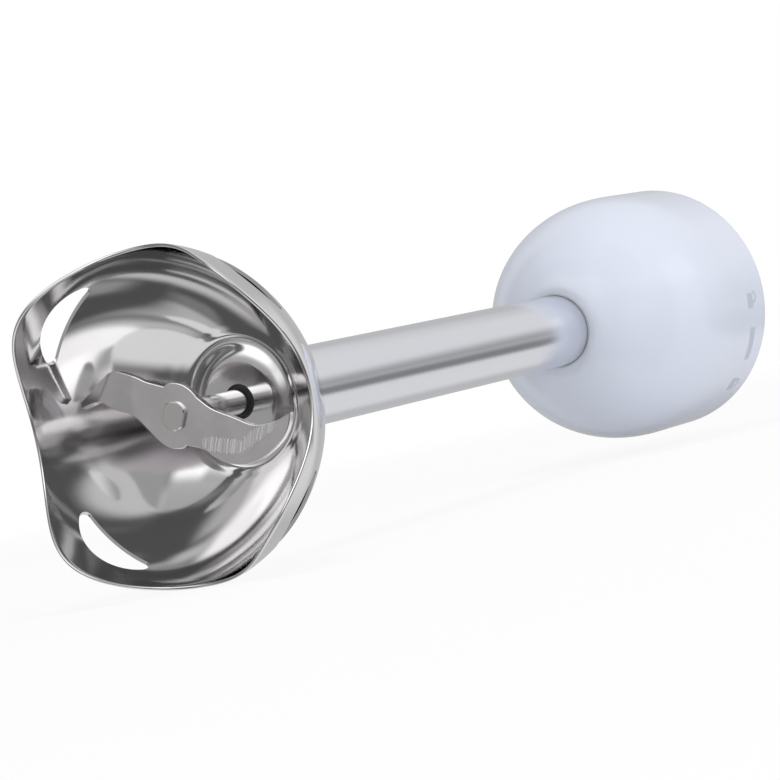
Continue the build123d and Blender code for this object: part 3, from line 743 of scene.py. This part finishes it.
# Studio: what shiny surfaces see, as soft-edged panels in degrees round the object, 0 towards the camera
studio = {"fill": 0.52, "base": 0.78, "panels": [
    {"name": "behind", "turn": (150, 190), "rise": (-35, 35), "edge": (8, 8), "level": 0.54},
    {"name": "behind left", "turn": (-190, -150), "rise": (-35, 35), "edge": (8, 8), "level": 0.54},
    {"name": "left upper", "turn": (-130, -60), "rise": (34, 75), "edge": (8, 6), "level": 0.6},
    {"name": "left side", "turn": (-130, -76), "rise": (-40, 40), "edge": (8, 8), "level": 0.22},
    {"name": "front room", "turn": (-84, 2), "rise": (-34, 52), "edge": (6, 6), "level": 0.2},
    {"name": "table", "turn": (-90, 60), "rise": (-95, -45), "edge": (8, 11), "level": 0.8},
    {"name": "front low", "turn": (-66, 3), "rise": (-39, -12), "edge": (6, 6), "level": 0.12},
    {"name": "front left", "turn": (-82, -52), "rise": (-24, 2), "edge": (6, 6), "level": 0.38},
    {"name": "right table", "turn": (4, 60), "rise": (-95, -45), "edge": (6, 8), "level": 0.8},
    {"name": "upper grey", "turn": (-66, -4), "rise": (46, 75), "edge": (8, 5), "level": 0.47},
    {"name": "upper right grey", "turn": (-4, 40), "rise": (32, 75), "edge": (6, 6), "level": 0.38},
    {"name": "softbox glow", "turn": (-78, -8), "rise": (3, 46), "edge": (7, 14), "level": 0.71},
    {"name": "left softbox", "turn": (-66, -14), "rise": (14, 38), "edge": (14, 8), "level": 1.75},
    {"name": "softbox skirt", "turn": (-36, -14), "rise": (0, 12), "edge": (6, 6), "level": 1.1},
    {"name": "softbox top", "turn": (-34, -8), "rise": (22, 45), "edge": (5, 5), "level": 1.45},
    {"name": "dark right", "turn": (0, 65), "rise": (-39, 29), "edge": (3, 6), "level": 0.11},
    {"name": "softbox end", "turn": (-8, 5), "rise": (22, 36), "edge": (3, 5), "level": 0.7},
    {"name": "right low", "turn": (13, 65), "rise": (-34, -14), "edge": (5, 5), "level": 0.4},
    {"name": "right strip", "turn": (13, 45), "rise": (2, 14), "edge": (4, 4), "level": 0.42},
    {"name": "middle strip", "turn": (-13, 0), "rise": (-26, -13), "edge": (3, 4), "level": 0.28},
    {"name": "middle strip top", "turn": (-13, 0), "rise": (-11, 13), "edge": (3, 4), "level": 0.64},
    {"name": "right flag glow", "turn": (98, 138), "rise": (3, 17), "edge": (5, 7), "level": 0.4},
    {"name": "right flag", "turn": (98, 138), "rise": (-7, 4), "edge": (5, 3), "level": 0.24},
    {"name": "right softbox", "turn": (66, 100), "rise": (26, 46), "edge": (5, 5), "level": 1.5},
]}


def panelMask(tree, turn, rise, panel):
    mask = None
    for angle, (low, high), edge in zip((turn, rise), (panel["turn"], panel["rise"]), panel["edge"]):
        span = tree.step(angle, low - edge, low + edge) * (1 - tree.step(angle, high - edge, high + edge))
        mask = span if mask is None else mask * span
    return mask


def addStudio(look):
    world = bpy.data.worlds.new("studio")
    bpy.context.scene.world = world
    tree = Tree(world)
    ray = tree.add("ShaderNodeTexCoord", output="Generated")
    right, up, back = camera.matrix_world.to_3x3().transposed()
    rightward, upward, backward = [
        tree.add("ShaderNodeVectorMath", {"operation": "DOT_PRODUCT"}, [ray, tuple(axis)], "Value")
        for axis in (right, up, back)]
    turn = rightward.calc("ARCTAN2", backward) * math.degrees(1)
    rise = upward.calc("ARCSINE") * math.degrees(1)
    level = None
    for panel in look["panels"]:
        mask = panelMask(tree, turn, rise, panel)
        before = look["base"] if level is None else level
        level = before + (panel["level"] - before) * mask
    path = tree.add("ShaderNodeLightPath")
    seen = path.out("Is Camera Ray")
    shiny = path.out("Is Glossy Ray")
    strength = seen + (1 - seen) * (look["fill"] + shiny * (level - look["fill"]))
    shade = tree.add("ShaderNodeBackground", None, {"Color": (1, 1, 1, 1), "Strength": strength})
    tree.add("ShaderNodeOutputWorld", None, {"Surface": shade})


addStudio(studio)

# Floor: pale, white to the camera, with a faint shadow under the leg
floorPlane = {"halfSize": 3.0, "colour": (0.9, 0.9, 0.9), "whiteShare": 0.9, "shadowReach": (0.25, 0.6)}


def addFloor(look):
    mesh = bpy.data.meshes.new("floor")
    build = bmesh.new()
    bmesh.ops.create_grid(build, x_segments=1, y_segments=1, size=look["halfSize"])
    build.to_mesh(mesh)
    build.free()
    floor = bpy.data.objects.new("floor", mesh)
    bpy.context.scene.collection.objects.link(floor)
    floor.location.z = cadBox[0].z
    floor.visible_glossy = False
    material = bpy.data.materials.new("floorWhite")
    tree = Tree(material)
    matt = tree.add("ShaderNodeBsdfDiffuse", None, {"Color": rgba(look["colour"])})
    white = tree.add("ShaderNodeEmission", None, {"Color": (1, 1, 1, 1), "Strength": 1.0})
    reach = tree.add("ShaderNodeVectorMath", {"operation": "LENGTH"}, [objectPlace(tree)], "Value")
    far = tree.step(reach, *look["shadowReach"])
    path = tree.add("ShaderNodeLightPath")
    seen = path.out("Is Camera Ray").calc("MAXIMUM", path.out("Is Transmission Ray"))
    share = seen * (look["whiteShare"] + far * (1 - look["whiteShare"]))
    mixed = tree.add("ShaderNodeMixShader", None, [share, matt, white])
    tree.add("ShaderNodeOutputMaterial", None, {"Surface": mixed})
    mesh.materials.append(material)


addFloor(floorPlane)

# Lamps: two large soft panels, left unseen by the metal
lamps = [
    {"name": "topLamp", "spot": (-0.2, -0.15, 0.85), "size": 0.25, "watts": 2.0},
    {"name": "rightLamp", "spot": (-0.15, -0.85, 0.42), "size": 0.5, "watts": 2.6},
]


def addLamp(lamp):
    light = bpy.data.lights.new(lamp["name"], "AREA")
    light.size = lamp["size"]
    light.energy = lamp["watts"]
    holder = bpy.data.objects.new(lamp["name"], light)
    bpy.context.scene.collection.objects.link(holder)
    spot = Vector(lamp["spot"])
    holder.matrix_world = Matrix.LocRotScale(spot, (-spot).to_track_quat("-Z", "Y"), None)
    holder.visible_glossy = False


for lamp in lamps:
    addLamp(lamp)
bpy.context.scene.view_settings.view_transform = "Standard"
print("studio lit")
